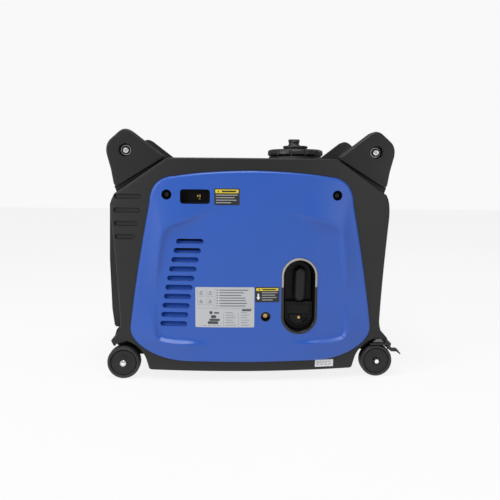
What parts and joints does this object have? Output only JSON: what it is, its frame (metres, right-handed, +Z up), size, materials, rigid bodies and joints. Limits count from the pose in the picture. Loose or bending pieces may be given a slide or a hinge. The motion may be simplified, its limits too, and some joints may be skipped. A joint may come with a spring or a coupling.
{
  "type": "portable generator",
  "caption": "Suitcase-style inverter generator with bowed black side frames, blue side panels, corner carrying bars, two fixed wheels and two swivel casters.",
  "frame": {"origin": "centre of the footprint on the ground", "axes": "+X towards the control panel end, -Y towards the recoil starter side, +Z up"},
  "size_m": [0.5916, 0.428, 0.49],
  "materials": {
    "black_plastic": "fine moulded grain, satin",
    "blue_plastic": "smooth moulded, semi-gloss",
    "dark_plastic": "moulded, satin",
    "rubber": "matt",
    "steel": "zinc plated",
    "aluminium": "die cast",
    "cast_iron": "painted casting",
    "red_plastic": "moulded",
    "brass": "machined",
    "copper_winding": "enamelled wire",
    "starter_cord": "braided"
  },
  "bodies": {
    "root": {"base_tray": "black_plastic", "side_frame_near": "black_plastic", "side_frame_far": "black_plastic", "top_cover": "black_plastic", "exhaust_end_cover": "black_plastic", "control_end_cover": "black_plastic", "air_filter_box": "black_plastic", "control_panel": "black_plastic", "side_panel_near": "blue_plastic", "side_panel_far": "blue_plastic", "starter_recess": "dark_plastic", "fuel_tank": "dark_plastic", "battery": "dark_plastic", "display_module": "dark_plastic", "ac_socket_a": "dark_plastic", "ac_socket_b": "dark_plastic", "dc_socket": "dark_plastic", "handle_grip_exhaust": "rubber", "handle_grip_control": "rubber", "handle_bar_exhaust": "steel", "handle_bar_control": "steel", "handle_bolt_exhaust_near": "steel", "handle_bolt_exhaust_far": "steel", "handle_bolt_control_near": "steel", "handle_bolt_control_far": "steel", "rear_axle": "steel", "caster_plate_near": "steel", "caster_plate_far": "steel", "exhaust_outlet": "steel", "recoil_housing": "aluminium", "carburetor": "aluminium", "inverter_module": "aluminium", "engine_block": "aluminium", "muffler": "cast_iron", "ground_terminal": "brass", "stator": "copper_winding", "starter_rope": "starter_cord"},
    "fixed_wheel_near": {"fixed_wheel_near": "rubber"},
    "fixed_wheel_far": {"fixed_wheel_far": "rubber"},
    "caster_near": {"caster_fork_near": "steel"},
    "caster_far": {"caster_fork_far": "steel"},
    "caster_wheel_near": {"caster_wheel_near": "rubber"},
    "caster_wheel_far": {"caster_wheel_far": "rubber"},
    "brake_pedal_near": {"brake_pedal_near": "black_plastic"},
    "brake_pedal_far": {"brake_pedal_far": "black_plastic"},
    "starter_handle": {"starter_handle": "dark_plastic"},
    "starter_pulley": {"starter_pulley": "dark_plastic"},
    "filler_plug": {"filler_plug": "rubber"},
    "fuel_cap": {"fuel_cap": "black_plastic"},
    "fuel_vent_knob": {"fuel_vent_knob": "black_plastic"},
    "engine_switch_knob": {"engine_switch_knob": "dark_plastic"},
    "start_button": {"start_button": "red_plastic"},
    "econ_rocker": {"econ_rocker": "dark_plastic"},
    "breaker_button": {"breaker_button": "red_plastic"},
    "ac_cover_a": {"ac_cover_a": "black_plastic"},
    "ac_cover_b": {"ac_cover_b": "black_plastic"},
    "crank": {"crankshaft": "steel", "rotor_fan": "cast_iron"}
  },
  "joints": [
    {"name": "fixed_wheel_near_spin", "type": "hinge", "parent": "root", "child": "fixed_wheel_near", "pos_m": [-0.2614, -0.173, 0.0324], "axis": [0, 1, 0], "continuous": true},
    {"name": "caster_swivel_near", "type": "hinge", "parent": "root", "child": "caster_near", "pos_m": [0.2576, -0.173, 0.066], "axis": [0, 0, 1], "continuous": true},
    {"name": "caster_wheel_near_spin", "type": "hinge", "parent": "caster_near", "child": "caster_wheel_near", "pos_m": [0.2446, -0.173, 0.0324], "axis": [0, 1, 0], "continuous": true},
    {"name": "brake_pedal_near_press", "type": "hinge", "parent": "caster_near", "child": "brake_pedal_near", "pos_m": [0.2706, -0.173, 0.059], "axis": [0, 1, 0], "range_deg": [0, 12]},
    {"name": "fixed_wheel_far_spin", "type": "hinge", "parent": "root", "child": "fixed_wheel_far", "pos_m": [-0.2614, 0.173, 0.0324], "axis": [0, 1, 0], "continuous": true},
    {"name": "caster_swivel_far", "type": "hinge", "parent": "root", "child": "caster_far", "pos_m": [0.2576, 0.173, 0.066], "axis": [0, 0, 1], "continuous": true},
    {"name": "caster_wheel_far_spin", "type": "hinge", "parent": "caster_far", "child": "caster_wheel_far", "pos_m": [0.2446, 0.173, 0.0324], "axis": [0, 1, 0], "continuous": true},
    {"name": "brake_pedal_far_press", "type": "hinge", "parent": "caster_far", "child": "brake_pedal_far", "pos_m": [0.2706, 0.173, 0.059], "axis": [0, 1, 0], "range_deg": [0, 12]},
    {"name": "starter_pull", "type": "slide", "parent": "root", "child": "starter_handle", "axis": [0, -1, 0], "range_m": [0, 0.5], "stiffness_N_per_m": 20},
    {"name": "starter_pulley_spin", "type": "hinge", "parent": "root", "child": "starter_pulley", "pos_m": [0.0316, -0.162, 0.15], "axis": [0, 1, 0], "range_deg": [-5, 665]},
    {"name": "crank_spin", "type": "hinge", "parent": "root", "child": "crank", "pos_m": [0.0316, 0, 0.15], "axis": [0, 1, 0], "continuous": true},
    {"name": "cap_lift", "type": "slide", "parent": "root", "child": "filler_plug", "axis": [0, 0, 1], "range_m": [0, 0.06]},
    {"name": "cap_turn", "type": "hinge", "parent": "filler_plug", "child": "fuel_cap", "pos_m": [0.0946, 0, 0.45], "axis": [0, 0, 1], "range_deg": [0, 90]},
    {"name": "vent_turn", "type": "hinge", "parent": "fuel_cap", "child": "fuel_vent_knob", "pos_m": [0.0916, 0, 0.475], "axis": [0, 0, 1], "range_deg": [0, 90]},
    {"name": "engine_switch_turn", "type": "hinge", "parent": "root", "child": "engine_switch_knob", "pos_m": [0.25001, -0.074, 0.27189], "axis": [0.9982, 0, -0.0598], "range_deg": [0, 90]},
    {"name": "start_button_press", "type": "slide", "parent": "root", "child": "start_button", "axis": [-0.9982, 0, 0.0598], "range_m": [0, 0.003], "stiffness_N_per_m": 300},
    {"name": "econ_rocker_tilt", "type": "hinge", "parent": "root", "child": "econ_rocker", "pos_m": [0.24451, -0.074, 0.18005], "axis": [0, 1, 0], "range_deg": [0, 12]},
    {"name": "breaker_press", "type": "slide", "parent": "root", "child": "breaker_button", "axis": [-0.9982, 0, 0.0598], "range_m": [0, 0.002], "stiffness_N_per_m": 300},
    {"name": "ac_cover_a_open", "type": "hinge", "parent": "root", "child": "ac_cover_a", "pos_m": [0.25317, 0.018, 0.24766], "axis": [0, -1, 0], "range_deg": [0, 110]},
    {"name": "ac_cover_b_open", "type": "hinge", "parent": "root", "child": "ac_cover_b", "pos_m": [0.25317, 0.074, 0.24766], "axis": [0, -1, 0], "range_deg": [0, 110]}
  ],
  "couplings": [
    {"joint": "starter_pulley_spin", "follows": "starter_pull", "rad_per_m": 22.57}
  ]
}
